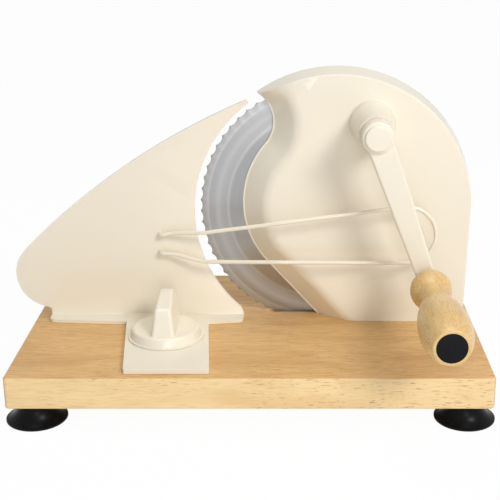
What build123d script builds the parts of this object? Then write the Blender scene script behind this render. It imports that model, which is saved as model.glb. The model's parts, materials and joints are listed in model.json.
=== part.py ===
from build123d import *
from math import acos, atan, cos, degrees, pi, radians, sin, sqrt, tan
import os

os.makedirs("parts", exist_ok=True)

# Hand-cranked bread slicer, in millimetres.
# +X is to the user's right, +Y away from the user, +Z up. The origin lies on the table, below
# the middle of the whole machine.
#
# A beech board on four suction feet carries a painted cover. The cover holds a toothed disc
# blade on a fixed axle, and a crank whose pinion drives the gear on the blade. What is sliced
# slides to the right along the stop plate and against the blade. The plate moves to and fro on
# the board to set the thickness of the slice, and a wing knob clamps it. A wire guard on the
# plate holds the slices upright in front of the cover.

# --- Board and feet -------------------------------------------------------------------
board_width = 330
board_depth = 200
board_thickness = 23
board_corner = 2.5
board_arris = 1.4
foot_radius = 21
foot_neck_radius = 12.5
foot_height = 15.5
foot_rim = 1.6
foot_inset_x = 17
foot_inset_y = 18
foot_cup_depth = 3.2
foot_collar = 2
foot_well_radius = 6
foot_screw_radius = 1.8
foot_screw_length = 20
foot_screw_recess = 8       # from the table to the screw's seat
screw_head_radius = 3.8
screw_head = 2
screw_head_fillet = 1.4
screw_slot = 0.9
screw_point = 0.45          # the chamfer at the end of a shank

# --- Depths, as distances behind the board's front edge ----------------------------------
cut_back = 121.5            # the plane of the blade's edge
cover_depth = 22
boss_length = 35.5
hub_length = 12.4
handle_length = 107.3

# --- Cover: a disc with a straight skirt, cut away on the left along an S -------------------
cover_radius = 100.5
cover_wall = 2.8
cover_draft = 2.8           # how far the front face is smaller than the rim
cover_arris = 1.0
side_lean = 1.1             # degrees that the right side leans inwards towards the board
bulge_radius = 69           # the S: a bulge about the cover's centre
notch_radius = 24.5         # and above it a notch that bares the blade
notch_bearing = 139.25      # degrees, from the cover's centre to the notch's
leg_bearing = 222           # degrees, where the S runs straight down to the board
roll_width = 30             # the front face rolls back to the blade over this width
lip_gap = 3.8               # from the S-shaped lip to the blade's ring
boss_base_radius = 16.4
boss_tip_radius = 12.5
boss_root_fillet = 1.6
lug_radius = 6.2
lug_height = 14
lug_offsets = (22, 58, 95)  # to the right of the blade's axle
lug_depth = 7.5             # behind the front face
lug_roof = 2
cover_screw_radius = 2
cover_screw_length = 28
cover_screw_recess = 5      # of the head in the underside of the board

# --- Blade and its gear ---------------------------------------------------------------------
blade_offset_x = 53.7       # from the middle of the board to the blade's axle
blade_height = 83.9         # of the axle above the board
cover_shift_x = 7.8         # from the axle to the cover's centre
cover_shift_z = 4.6
blade_radius = 93.3
blade_sheet = 1.2
blade_edge = 0.25
blade_bevel = 6.3
blade_ring_radius = 73      # inside this ring the disc is dished towards the cover
blade_flat_radius = 54
blade_dish = 3.6
blade_teeth = 67
blade_tooth_depth = 1.5
blade_phase = 149.9         # degrees, the bearing of one tooth at rest
blade_spigot_radius = 7
gear_module = 2
gear_teeth = 50
gear_width = 4.5
gear_hub_radius = 9
gear_hub_length = 3.8
gear_rim = 7                # from the root of the teeth inwards, left at full width
gear_recess = 1.5
pinion_teeth = 25
pinion_width = 4.5
pressure_angle = 20
backlash = 0.2
axle_radius = 5
axle_bore_depth = 5         # how deep the axle sits in its boss
axle_boss_radius = 11
axle_washer = 1
axle_screw_radius = 2.5
axle_screw_length = 9
blade_screw_radius = 2
blade_screw_circle = 26
kerf_gap = 2.2              # around the blade in the board's slot

# --- Crank and handle -----------------------------------------------------------------------
crank_bearing = 64.4        # degrees, from the blade's axle to the crank's
shaft_radius = 5
shaft_flat = 4              # from the shaft's axis to the flat under the pinion
shaft_square = 7
shaft_square_setback = 0.3  # behind the washer's seat in the hub
clip_thickness = 1
clip_seat_radius = 4
clip_radius = 7.5
bush_wall = 2
bush_flange_radius = 9.2
bush_flange = 1.2
bush_length = 14
bush_boss_wall = 3.5
arm_length = 111
arm_bearing = -69.9         # degrees, of the arm at rest
arm_root_width = 19.6
arm_end_width = 13
arm_end_radius = 8
arm_thickness = 7
arm_setback = 2.3           # of the bar behind the hub's front face
arm_edge_fillet = 2
hub_radius = 11.2
hub_front_fillet = 1.8
hub_back_fillet = 0.6
hub_recess_radius = 7.5
hub_recess_depth = 5.5
cap_radius = 9.2
cap_proud = 2.1
cap_edge_fillet = 1.5
cap_spigot_length = 3
cap_wall = 1.7
arm_washer_radius = 6.5
arm_washer_thickness = 1
arm_screw_radius = 2.5
arm_screw_length = 12
arm_screw_head_radius = 4.5
arm_screw_head = 3
arm_screw_socket = 4        # across the flats
arm_screw_socket_depth = 1.8
arm_screw_chamfer = 0.5
handle_ball_radius = 14.4
handle_ball_seat = 10       # from the ball's centre to the flat that meets the arm
handle_neck_radius = 9.3
handle_neck = 24.5          # from the flat to the narrowest place
handle_belly_radius = 17
handle_belly = 77           # from the flat to the widest place
handle_swell = 48.5         # from the flat to half way between the two
handle_end_radius = 11.6
handle_end_fillet = 1.2
handle_washer_radius = 6
handle_bolt_radius = 4
handle_thread_radius = 3
handle_bolt_head_radius = 6.5
handle_bolt_head = 4
handle_plug_radius = 9.8
handle_plug_depth = 12
handle_plug_skirt = 6
handle_plug_wall = 1.5
handle_plug_dome = 0.7

# --- Stop plate, its tongue and the wire guard -------------------------------------------------
stop_gap = 9.9              # from the plate to the cutting plane at rest: the slice thickness
stop_thickness = 5
stop_forward = 10           # travel towards the user
stop_back = 9.5             # travel towards the blade
stop_arc_radius = 101.9     # the concave edge beside the blade
stop_arc_shift_x = 5.1      # from the blade's axle to that edge's centre
stop_arc_shift_z = -1.1
stop_tip_bearing = 127      # degrees, where the concave edge ends at the tip
stop_foot_bearing = 228     # and where it ends above the flange
stop_tip_width = 3
stop_tip_fillet = 1
stop_top_x = -97.8          # a point half way along the curved top
stop_top_height = 114.9
stop_nose_radius = 26.8
stop_nose_height = 35.2
stop_nose_x = -151.4        # the nose's centre, from the middle of the board
stop_nose_start = 135       # degrees, where the top runs into the nose
stop_flange_left = -153.5
stop_flange_right = -7.6
stop_flange_height = 2.8
stop_flange_reach = 10.4    # in front of the plate, at the flange's two ends
stop_flange_swell = 4.4     # how much further it reaches beside the tongue
stop_flange_corner = 4
stop_flange_fillet = 0.8    # where the plate stands on the flange
stop_heel_fillet = 2.5      # where the nose runs into the flange's left end
stop_bevel_width = 4.2
stop_bevel_depth = 1.6
tongue_width = 58           # at its front end
tongue_back_width = 61.6
tongue_front = 6.3          # behind the board's front edge
tongue_front_x = -56.2      # the middle of the tongue's front end
tongue_lean = 9.2           # the tongue's back end stands this far to the left
tongue_thickness = 3.5
tongue_corner = 1.2
rib_width = 10
rib_depth = 4
rib_length = 27             # forward from the plate's back
groove_gap = 0.25
wire_radius = 1.5
wire_hole_x = -68.9
wire_hole_height = 67
wire_lower_hole_height = 53
wire_hole_back = 101        # where the wire turns away from the plate
wire_stub_x = -59.5
wire_stub_height = 69.2
wire_lower_stub_height = 53.2
wire_back = 85              # behind the board's front edge, along the guard's straight part
wire_bend_x = 20
wire_bend_height = 81.7
wire_lower_bend_height = 52
wire_knee_x = -36
wire_knee_back = 94.4
wire_knee_height = 71.5
wire_lower_knee_height = 49.3
wire_loop_radius = 21
wire_loop_end_x = 132.5
wire_loop_top = 96.9
wire_loop_bottom = 51.5
wire_bend_radius = 6
wire_turn_radius = 4

# --- Clamp knob ------------------------------------------------------------------------------
knob_x = -62.0              # from the middle of the board
knob_back = 63.2            # behind the board's front edge
knob_radius = 27
knob_height = 7.2
knob_lip = 1.3              # height of the thin lip round the disc
knob_lip_step = 0.7
knob_slope = 2.4            # how much smaller the disc is on top than above its lip
knob_edge_fillet = 2.1
wing_width = 17
wing_top_width = 10.4
wing_height = 23.6          # of its peak above the disc
wing_front = 20.6           # from the knob's axis to the foot of its steep front
wing_brow = 16.8            # and to the brow, where the front turns into the ridge
wing_brow_height = 18.4
wing_peak = 9               # the peak lies behind the axis
wing_shoulder = 15          # and so does the top of its rear slope
wing_back = 23.4
wing_fillet = 2.4
wing_brow_fillet = 6
clamp_radius = 3
clamp_reach = 17            # of the bolt above the board
clamp_washer_radius = 9
clamp_washer = 1.2
clamp_head_radius = 8
clamp_head = 3
clamp_head_fillet = 2
clamp_chamfer = 0.5
clamp_square = 6.6
clamp_neck = 3
insert_radius = 5
insert_length = 12

# --- Clearances --------------------------------------------------------------------------------
press_gap = 0.02            # around what is pressed, screwed or glued in
turn_gap = 0.05             # around what turns in a bore
rest_gap = 0.2              # between faces that slide or turn on each other
free_gap = 0.5              # where nothing may rub

# --- Places worked out from the sizes above -----------------------------------------------------
cover_front_back = cut_back - cover_depth
boss_tip_back = cover_front_back - boss_length
hub_back = boss_tip_back - bush_flange - rest_gap
arm_front_back = hub_back - hub_length
handle_back = arm_front_back - rest_gap
handle_end_back = handle_back - handle_length
plug_front_back = handle_end_back - handle_plug_dome

nose_reach = stop_nose_radius - stop_nose_x
foot_x = board_width / 2 - foot_inset_x
board_x = (nose_reach - foot_x - foot_radius) / 2
rear_reach = board_depth - foot_inset_y + foot_radius
front_y = -(rear_reach + plug_front_back) / 2
deck = foot_height + board_thickness

cut_y = front_y + cut_back
cover_y = front_y + cover_front_back
boss_tip_y = front_y + boss_tip_back
blade_x = board_x + blade_offset_x
blade_z = deck + blade_height
cover_x = blade_x + cover_shift_x
cover_z = blade_z + cover_shift_z
gear_distance = gear_module * (gear_teeth + pinion_teeth) / 2
crank_x = blade_x + gear_distance * cos(radians(crank_bearing))
crank_z = blade_z + gear_distance * sin(radians(crank_bearing))
lip_y = cut_y - blade_sheet - lip_gap
cover_inner_y = cover_y + cover_wall
dish_back_y = cut_y - blade_dish
gear_back_y = dish_back_y - blade_sheet
gear_front_y = gear_back_y - gear_width
axle_boss_y = gear_front_y - gear_hub_length - rest_gap
axle_front_y = axle_boss_y - axle_bore_depth
axle_back_y = dish_back_y + rest_gap
pinion_back_y = gear_back_y - free_gap
pinion_front_y = pinion_back_y - pinion_width
bush_radius = shaft_radius + bush_wall
bush_boss_y = pinion_front_y - rest_gap - bush_flange
shaft_back_y = pinion_back_y + 2 * clip_thickness

arm_turn = radians(arm_bearing)
handle_x = crank_x + arm_length * cos(arm_turn)
handle_z = crank_z + arm_length * sin(arm_turn)
hub_back_y = front_y + hub_back
arm_front_y = front_y + arm_front_back
hub_seat_y = arm_front_y + hub_recess_depth
bar_front_y = arm_front_y + arm_setback
bar_back_y = bar_front_y + arm_thickness
handle_y = front_y + handle_back
handle_end_y = front_y + handle_end_back
handle_seat_y = handle_end_y + handle_plug_depth

lug_places = [(blade_x + offset, cover_y + lug_depth) for offset in lug_offsets]
foot_places = {
    f"foot_{row}_{side}": (board_x + way * foot_x, y)
    for row, y in (
        ("front", front_y + foot_inset_y),
        ("rear", front_y + board_depth - foot_inset_y),
    )
    for side, way in (("left", -1), ("right", 1))
}

stop_back_back = cut_back - stop_gap
stop_front_back = stop_back_back - stop_thickness
tongue_back_x = tongue_front_x - tongue_lean
rib_front_back = stop_back_back - rib_length
tongue_top = rest_gap + tongue_thickness
disc_bottom = tongue_top + rest_gap
washer_top = disc_bottom + clamp_washer
knob_axis_x = board_x + knob_x
knob_axis_y = front_y + knob_back
clamp_seat_z = foot_height + clamp_head + free_gap


def facing(x, y, z):
    """A plane that faces the user: local x to the right, local y up."""
    return Plane(origin=(x, y, z), x_dir=(1, 0, 0), z_dir=(0, -1, 0))


def level(x, y, z):
    """A level plane: local x to the right, local y away from the user."""
    return Plane(origin=(x, y, z))


def depth_axis(x, z):
    """The axis of what turns about a line from front to back."""
    return Axis((x, 0, z), (0, 1, 0))


def upright_axis(x, y):
    return Axis((x, y, 0), (0, 0, 1))


def tube(plane, outer_radius, inner_radius, length):
    """A round piece with a bore, standing on the plane."""
    with BuildPart() as piece:
        with BuildSketch(plane):
            Circle(outer_radius)
            Circle(inner_radius, mode=Mode.SUBTRACT)
        extrude(amount=length)
    return piece.part


def screw(seat, shank_radius, length):
    """A slotted screw: its round head stands on the seat and its shank runs below it."""
    outward = Axis(seat.origin, seat.z_dir)
    with BuildPart() as piece:
        with BuildSketch(seat):
            Circle(screw_head_radius)
        extrude(amount=screw_head)
        fillet(piece.edges().sort_by(outward)[-1], screw_head_fillet)
        with BuildSketch(seat.offset(screw_head)):
            Rectangle(2 * screw_head_radius, screw_slot)
        extrude(amount=-screw_head / 2, mode=Mode.SUBTRACT)
        with BuildSketch(seat):
            Circle(shank_radius)
        extrude(amount=-length)
        chamfer(piece.edges().sort_by(outward)[0], screw_point)
    return piece.part


def save(part, name):
    part.label = name
    export_step(part, f"parts/{name}.step")


# =============================== Cover ==========================================================
draft_angle = degrees(atan(cover_draft / cover_depth))
boss_taper = degrees(atan((boss_base_radius - boss_tip_radius) / boss_length))
notch_distance = bulge_radius + notch_radius
notch_x = notch_distance * cos(radians(notch_bearing))
notch_z = notch_distance * sin(radians(notch_bearing))
notch_start = 78            # degrees on the notch's circle, outside the cover's rim
cover_plane = facing(cover_x, cut_y, cover_z)
lip_plane = facing(cover_x, lip_y, cover_z)
past = 40                   # how far raw shapes and cutters run past what they meet


def s_line():
    """The S from above the cover's tip down to below the board, about the cover's centre."""
    with BuildLine() as line:
        CenterArc(
            (notch_x, notch_z), notch_radius, notch_start, notch_bearing - 180 - notch_start
        )
        bulge = CenterArc((0, 0), bulge_radius, notch_bearing, leg_bearing - notch_bearing)
        PolarLine(bulge @ 1, past + bulge_radius, direction=bulge % 1)
    return line.line


def cover_block(inset):
    """The cover before the S is cut: a drafted disc with a straight skirt."""
    radius = cover_radius - inset
    floor = deck - cover_z - past / 2
    with BuildPart() as block:
        with BuildSketch(cover_plane):
            with BuildLine():
                rim = CenterArc((0, 0), radius, -side_lean, 180 + side_lean)
                side = (rim @ 0) - Vector(tan(radians(side_lean)), 1) * ((rim @ 0).Y - floor)
                Polyline(rim @ 1, (-radius, floor), side, rim @ 0)
            make_face()
        extrude(amount=cover_depth - inset, taper=draft_angle)
        split(bisect_by=Plane.XY.offset(deck), keep=Keep.TOP)
    return block.part


def roll_cutter(inset):
    """What the rolled edge takes off along the S, from the lip to the front face."""
    drop = lip_y - cover_y
    curve = (roll_width**2 + drop**2) / (2 * drop)
    radius = curve - inset
    centre_height = drop - curve
    reach = sqrt(radius**2 - centre_height**2)
    lip_angle = degrees(acos(-reach / radius))
    path = lip_plane.from_local_coords(s_line())
    outward = (cos(radians(notch_start)), 0, sin(radians(notch_start)))
    with BuildPart() as cutter:
        with BuildSketch(Plane(path @ 0, x_dir=outward, z_dir=path % 0)):
            with BuildLine():
                roll = CenterArc((roll_width, centre_height), radius, 90, lip_angle - 90)
                Polyline(
                    roll @ 0,
                    (roll_width, drop + past / 4),
                    (-past / 2, drop + past / 4),
                    (-past / 2, 0),
                    roll @ 1,
                )
            make_face()
        sweep(path=path)
    return cutter.part


def left_of_s(plane, amount):
    """What stands to the left of the S."""
    corner = cover_radius + past
    with BuildPart() as cutter:
        with BuildSketch(plane):
            with BuildLine():
                edge = s_line()
                add(edge)
                start, end = edge @ 0, edge @ 1
                Polyline(start, (start.X, corner), (-corner, corner), (-corner, end.Y), end)
            make_face()
        extrude(amount=amount)
    return cutter.part


with BuildPart() as cover_hollow:
    add(cover_block(cover_wall))
    add(roll_cutter(cover_wall), mode=Mode.SUBTRACT)
    add(left_of_s(lip_plane, cover_depth), mode=Mode.SUBTRACT)

with BuildPart() as cover:
    add(cover_block(0))
    front_face = cover.faces().filter_by(Axis.Y).sort_by(Axis.Y)[0]
    front_edges = front_face.edges().filter_by(GeomType.CIRCLE)
    front_edges += front_face.edges().filter_by(GeomType.LINE).sort_by(Axis.X)[-1:]
    fillet(front_edges, cover_arris)
    add(roll_cutter(0), mode=Mode.SUBTRACT)
    add(left_of_s(cover_plane, cover_depth), mode=Mode.SUBTRACT)
    add(cover_hollow.part, mode=Mode.SUBTRACT)
    # the tapered boss that carries the crank
    with BuildSketch(facing(crank_x, cover_y, crank_z)):
        Circle(boss_base_radius)
    extrude(amount=boss_length, taper=boss_taper)
    boss_roots = cover.edges().filter_by(GeomType.CIRCLE)
    boss_roots = boss_roots.filter_by(lambda edge: abs(edge.radius - boss_base_radius) < press_gap)
    fillet(boss_roots, boss_root_fillet)
    # inside the cover, the bosses for the shaft's rear bush and for the blade's axle
    with BuildSketch(facing(crank_x, bush_boss_y, crank_z)):
        Circle(bush_radius + bush_boss_wall)
    extrude(amount=bush_boss_y - cover_inner_y + free_gap)
    with BuildSketch(facing(blade_x, axle_boss_y, blade_z)):
        Circle(axle_boss_radius)
    extrude(amount=axle_boss_y - cover_inner_y + free_gap)
    with BuildSketch(facing(crank_x, cut_y, crank_z)):
        Circle(bush_radius + press_gap)
    extrude(amount=cut_y - boss_tip_y, mode=Mode.SUBTRACT)
    with BuildSketch(facing(blade_x, cut_y, blade_z)):
        Circle(axle_radius + press_gap)
    extrude(amount=cut_y - axle_front_y, mode=Mode.SUBTRACT)
    # lugs for the screws that come up through the board
    with BuildSketch(level(0, 0, deck)):
        with Locations(*lug_places):
            Circle(lug_radius)
    extrude(amount=lug_height)
    with BuildSketch(level(0, 0, deck)):
        with Locations(*lug_places):
            Circle(cover_screw_radius + press_gap)
    extrude(amount=lug_height - lug_roof, mode=Mode.SUBTRACT)
save(cover.part, "cover")

with BuildPart() as cover_screws:
    for x, y in lug_places:
        seat = -level(x, y, foot_height + cover_screw_recess)
        add(screw(seat, cover_screw_radius, cover_screw_length))
save(cover_screws.part, "cover_screws")

# =============================== Board and feet ====================================================
with BuildPart() as base_board:
    with BuildSketch(level(board_x, front_y + board_depth / 2, foot_height)):
        Rectangle(board_width, board_depth)
    extrude(amount=board_thickness)
    fillet(base_board.edges().filter_by(Axis.Z), board_corner)
    fillet(base_board.faces().filter_by(Axis.Z).edges(), board_arris)
    # the slot that the blade dips into
    with BuildSketch(facing(blade_x, cut_y + kerf_gap, blade_z)):
        Circle(blade_radius + kerf_gap)
    extrude(amount=blade_sheet + 2 * kerf_gap, mode=Mode.SUBTRACT)
    # the groove that the rib under the stop plate slides in
    with BuildSketch(level(board_x + tongue_back_x, front_y + rib_front_back - stop_forward, deck)):
        with Locations((0, -free_gap)):
            Rectangle(
                rib_width + 2 * groove_gap,
                rib_length + stop_forward + stop_back + 2 * free_gap,
                align=(Align.CENTER, Align.MIN),
            )
    extrude(amount=-rib_depth, mode=Mode.SUBTRACT)
    # the hole, the square seat and the recess of the clamp bolt
    with BuildSketch(level(knob_axis_x, knob_axis_y, foot_height)):
        Circle(clamp_radius + press_gap)
    extrude(amount=board_thickness, mode=Mode.SUBTRACT)
    with BuildSketch(level(knob_axis_x, knob_axis_y, clamp_seat_z)):
        Rectangle(clamp_square + 2 * press_gap, clamp_square + 2 * press_gap)
    extrude(amount=clamp_neck + press_gap, mode=Mode.SUBTRACT)
    with BuildSketch(level(knob_axis_x, knob_axis_y, clamp_seat_z)):
        Circle(clamp_head_radius + free_gap)
    extrude(amount=-clamp_seat_z, mode=Mode.SUBTRACT)
    # the holes of the screws that hold the cover and the feet
    with BuildSketch(level(0, 0, foot_height)):
        with Locations(*lug_places):
            Circle(cover_screw_radius + turn_gap)
    extrude(amount=board_thickness, mode=Mode.SUBTRACT)
    with BuildSketch(level(0, 0, foot_height)):
        with Locations(*lug_places):
            Circle(screw_head_radius + free_gap)
    extrude(amount=cover_screw_recess, mode=Mode.SUBTRACT)
    with BuildSketch(level(0, 0, foot_screw_recess)):
        with Locations(*foot_places.values()):
            Circle(foot_screw_radius + press_gap)
    extrude(amount=foot_screw_length + free_gap, mode=Mode.SUBTRACT)
save(base_board.part, "base_board")

for foot_name, (x, y) in foot_places.items():
    bore = foot_screw_radius + turn_gap
    with BuildPart() as foot:
        with BuildSketch(facing(x, y, 0)):
            with BuildLine():
                Polyline(
                    (foot_well_radius, foot_cup_depth),
                    (foot_well_radius, foot_screw_recess),
                    (bore, foot_screw_recess),
                    (bore, foot_height),
                    (foot_neck_radius, foot_height),
                    (foot_neck_radius, foot_height - foot_collar),
                )
                TangentArc(
                    (foot_neck_radius, foot_height - foot_collar),
                    (foot_radius, foot_rim),
                    tangent=(0, -1),
                )
                Polyline(
                    (foot_radius, foot_rim),
                    (foot_radius, foot_rim / 3),
                    (foot_radius - foot_rim / 3, 0),
                    (foot_radius - foot_rim, 0),
                )
                TangentArc(
                    (foot_well_radius, foot_cup_depth),
                    (foot_radius - foot_rim, 0),
                    tangent=(1, 0),
                )
            make_face()
        revolve(axis=upright_axis(x, y))
    save(foot.part, foot_name)

with BuildPart() as foot_screws:
    for x, y in foot_places.values():
        add(screw(-level(x, y, foot_screw_recess), foot_screw_radius, foot_screw_length))
save(foot_screws.part, "foot_screws")

# =============================== Blade and its axle ==================================================
tooth_pitch = 2 * pi * blade_radius / blade_teeth
scoop_radius = ((tooth_pitch / 2) ** 2 + blade_tooth_depth**2) / (2 * blade_tooth_depth)
scoop_circle = blade_radius - blade_tooth_depth + scoop_radius
blade_axis = depth_axis(blade_x, blade_z)

with BuildPart() as blade:
    bore = blade_spigot_radius + press_gap
    with BuildSketch(level(blade_x, cut_y, blade_z)):
        with BuildLine():
            Polyline(
                (bore, -blade_dish),
                (blade_flat_radius, -blade_dish),
                (blade_ring_radius, 0),
                (blade_radius, 0),
                (blade_radius, -blade_edge),
                (blade_radius - blade_bevel, -blade_sheet),
                (blade_ring_radius, -blade_sheet),
                (blade_flat_radius, -blade_dish - blade_sheet),
                (bore, -blade_dish - blade_sheet),
                close=True,
            )
        make_face()
    revolve(axis=blade_axis)
    # the wavy edge: one round scoop between each two teeth
    with BuildSketch(facing(blade_x, cut_y, blade_z)):
        first_scoop = blade_phase + 180 / blade_teeth
        with PolarLocations(scoop_circle, blade_teeth, start_angle=first_scoop):
            Circle(scoop_radius)
    extrude(amount=blade_sheet, mode=Mode.SUBTRACT)
    with BuildSketch(facing(blade_x, cut_y, blade_z)):
        with PolarLocations(blade_screw_circle, 3, start_angle=90):
            Circle(blade_screw_radius + press_gap)
    extrude(amount=blade_dish + blade_sheet, mode=Mode.SUBTRACT)
save(blade.part, "blade")

with BuildPart() as blade_axle:
    with BuildSketch(facing(blade_x, axle_back_y, blade_z)):
        Circle(axle_radius)
    extrude(amount=axle_back_y - axle_front_y)
    chamfer(blade_axle.edges().sort_by(Axis.Y)[0], free_gap)
    with BuildSketch(facing(blade_x, axle_back_y, blade_z)):
        Circle(axle_screw_radius + press_gap)
    extrude(amount=axle_screw_length, mode=Mode.SUBTRACT)
save(blade_axle.part, "blade_axle")

axle_end = -facing(blade_x, axle_back_y, blade_z)
save(tube(axle_end, gear_hub_radius, axle_screw_radius + turn_gap, axle_washer), "axle_washer")
save(screw(axle_end.offset(axle_washer), axle_screw_radius, axle_screw_length), "axle_screw")

# =============================== Gears ================================================================


def involute(angle):
    return tan(angle) - angle


def gear_face(teeth, first_gap):
    """A gear about the origin, with the middle of one gap at the bearing first_gap."""
    pitch_radius = gear_module * teeth / 2
    base_radius = pitch_radius * cos(radians(pressure_angle))
    root_radius = pitch_radius - 1.25 * gear_module
    tip_radius = pitch_radius + gear_module
    outside = tip_radius + gear_module / 4
    flank_start = max(base_radius, root_radius)
    pitch_gap = (pi / 2 + backlash / gear_module) / teeth

    def flank_point(radius, side):
        """A point of the gap's side, which spreads outwards as an involute does."""
        spread = involute(acos(min(base_radius / radius, 1)))
        angle = pitch_gap - involute(radians(pressure_angle)) + spread
        return (radius * cos(angle), side * radius * sin(angle))

    flank_radii = (flank_start, pitch_radius, outside)
    with BuildSketch() as gap:
        with BuildLine():
            lower = ThreePointArc([flank_point(radius, -1) for radius in flank_radii])
            upper = ThreePointArc([flank_point(radius, 1) for radius in flank_radii])
            Line(lower @ 1, upper @ 1)
            if flank_start > root_radius:
                Polyline(
                    lower @ 0, flank_point(root_radius, -1), flank_point(root_radius, 1), upper @ 0
                )
            else:
                Line(lower @ 0, upper @ 0)
        make_face()
    with BuildSketch() as gear:
        Circle(tip_radius)
        with PolarLocations(0, teeth, start_angle=first_gap):
            add(gap.sketch, mode=Mode.SUBTRACT)
    return gear.sketch


blade_gear_face = gear_face(gear_teeth, crank_bearing + 180 / gear_teeth)
pinion_face = gear_face(pinion_teeth, crank_bearing + 180)

with BuildPart() as blade_gear:
    with BuildSketch(facing(blade_x, gear_back_y, blade_z)):
        add(blade_gear_face)
    extrude(amount=gear_width)
    # a moulded recess between the hub and the rim
    rim_radius = gear_module * gear_teeth / 2 - gear_rim
    with BuildSketch(facing(blade_x, gear_front_y, blade_z)):
        Circle(rim_radius)
        Circle(blade_screw_circle + gear_rim, mode=Mode.SUBTRACT)
    extrude(amount=-gear_recess, mode=Mode.SUBTRACT)
    with BuildSketch(facing(blade_x, gear_front_y, blade_z)):
        Circle(gear_hub_radius)
    extrude(amount=gear_hub_length)
    with BuildSketch(facing(blade_x, dish_back_y, blade_z)):
        Circle(blade_spigot_radius)
    extrude(amount=blade_sheet)
    with BuildSketch(facing(blade_x, dish_back_y, blade_z)):
        Circle(axle_radius + turn_gap)
    extrude(amount=dish_back_y - axle_boss_y, mode=Mode.SUBTRACT)
    with BuildSketch(facing(blade_x, gear_back_y, blade_z)):
        with PolarLocations(blade_screw_circle, 3, start_angle=90):
            Circle(blade_screw_radius + press_gap)
    extrude(amount=gear_width, mode=Mode.SUBTRACT)
save(blade_gear.part, "blade_gear")

blade_screw_places = PolarLocations(blade_screw_circle, 3, start_angle=90)
with BuildPart() as blade_screws:
    for place in blade_screw_places:
        x, z, _ = place.position
        seat = -facing(blade_x + x, dish_back_y, blade_z + z)
        add(screw(seat, blade_screw_radius, blade_sheet + gear_width - free_gap))
save(blade_screws.part, "blade_screws")

# the shaft is flattened where the pinion sits, and so is the pinion's bore
with BuildSketch() as shaft_d:
    Circle(shaft_radius)
    with Locations((0, shaft_flat)):
        Rectangle(
            2 * shaft_radius, shaft_radius, align=(Align.CENTER, Align.MIN), mode=Mode.SUBTRACT
        )
with BuildPart() as crank_pinion:
    with BuildSketch(facing(crank_x, pinion_back_y, crank_z)):
        add(pinion_face)
        add(offset(shaft_d.sketch, press_gap, mode=Mode.PRIVATE), mode=Mode.SUBTRACT)
    extrude(amount=pinion_width)
save(crank_pinion.part, "crank_pinion")

# =============================== Crank ================================================================
bush_bore = shaft_radius + turn_gap
for bush_name, bush_seat in (
    ("front_bush", facing(crank_x, boss_tip_y, crank_z)),
    ("rear_bush", -facing(crank_x, bush_boss_y, crank_z)),
):
    bush = tube(bush_seat, bush_flange_radius, bush_bore, bush_flange)
    bush += tube(bush_seat, bush_radius, bush_bore, -bush_length)
    save(bush, bush_name)

with BuildPart() as crank_shaft:
    with BuildSketch(facing(crank_x, shaft_back_y, crank_z)):
        add(shaft_d.sketch)
    extrude(amount=shaft_back_y - pinion_front_y)
    with BuildSketch(facing(crank_x, pinion_front_y, crank_z)):
        Circle(shaft_radius)
    extrude(amount=pinion_front_y - hub_back_y)
    square_front_y = hub_seat_y + shaft_square_setback
    with BuildSketch(facing(crank_x, hub_back_y, crank_z)):
        Rectangle(shaft_square, shaft_square, rotation=arm_bearing)
    extrude(amount=hub_back_y - square_front_y)
    # the clip's groove and the tapped hole of the arm's screw
    with BuildSketch(facing(crank_x, pinion_back_y, crank_z)):
        Circle(2 * shaft_radius)
        Circle(clip_seat_radius, mode=Mode.SUBTRACT)
    extrude(amount=-(clip_thickness + turn_gap), mode=Mode.SUBTRACT)
    with BuildSketch(facing(crank_x, square_front_y, crank_z)):
        Circle(arm_screw_radius + press_gap)
    extrude(amount=-arm_screw_length, mode=Mode.SUBTRACT)
save(crank_shaft.part, "crank_shaft")

with BuildPart() as pinion_clip:
    with BuildSketch(facing(crank_x, pinion_back_y, crank_z)):
        Circle(clip_radius)
        Circle(clip_seat_radius + press_gap, mode=Mode.SUBTRACT)
        Rectangle(
            clip_seat_radius, clip_radius, align=(Align.CENTER, Align.MAX), mode=Mode.SUBTRACT
        )
    extrude(amount=-clip_thickness)
save(pinion_clip.part, "pinion_clip")

bar_plane = Plane(
    origin=(crank_x, bar_back_y, crank_z), x_dir=(cos(arm_turn), 0, sin(arm_turn)), z_dir=(0, -1, 0)
)
hub_plane = bar_plane.offset(bar_back_y - hub_back_y)
with BuildPart() as crank_arm:
    with BuildSketch(bar_plane):
        with BuildLine():
            root, end = arm_root_width / 2, arm_end_width / 2
            Polyline((0, -root), (arm_length, -end), (arm_length, end), (0, root), close=True)
        make_face()
        Circle(root)
        with Locations((arm_length, 0)):
            Circle(arm_end_radius)
    extrude(amount=arm_thickness)
    fillet(crank_arm.faces().filter_by(Axis.Y).edges(), arm_edge_fillet)
    with BuildSketch(hub_plane):
        Circle(hub_radius)
    extrude(amount=hub_length)
    hub_rims = crank_arm.edges().filter_by(GeomType.CIRCLE)
    hub_rims = hub_rims.filter_by(lambda edge: abs(edge.radius - hub_radius) < press_gap)
    fillet(hub_rims.sort_by(Axis.Y)[0], hub_front_fillet)
    fillet(hub_rims.sort_by(Axis.Y)[-1], hub_back_fillet)
    with BuildSketch(hub_plane):
        Rectangle(shaft_square + 2 * press_gap, shaft_square + 2 * press_gap)
    extrude(amount=hub_length, mode=Mode.SUBTRACT)
    with BuildSketch(hub_plane.offset(hub_length)):
        Circle(hub_recess_radius)
    extrude(amount=-hub_recess_depth, mode=Mode.SUBTRACT)
    with BuildSketch(bar_plane):
        with Locations((arm_length, 0)):
            Circle(handle_thread_radius + press_gap)
    extrude(amount=arm_thickness, mode=Mode.SUBTRACT)
save(crank_arm.part, "crank_arm")

hub_seat = facing(crank_x, hub_seat_y, crank_z)
arm_washer = tube(
    hub_seat, arm_washer_radius, arm_screw_radius + turn_gap, arm_washer_thickness
)
save(arm_washer, "arm_washer")

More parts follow.
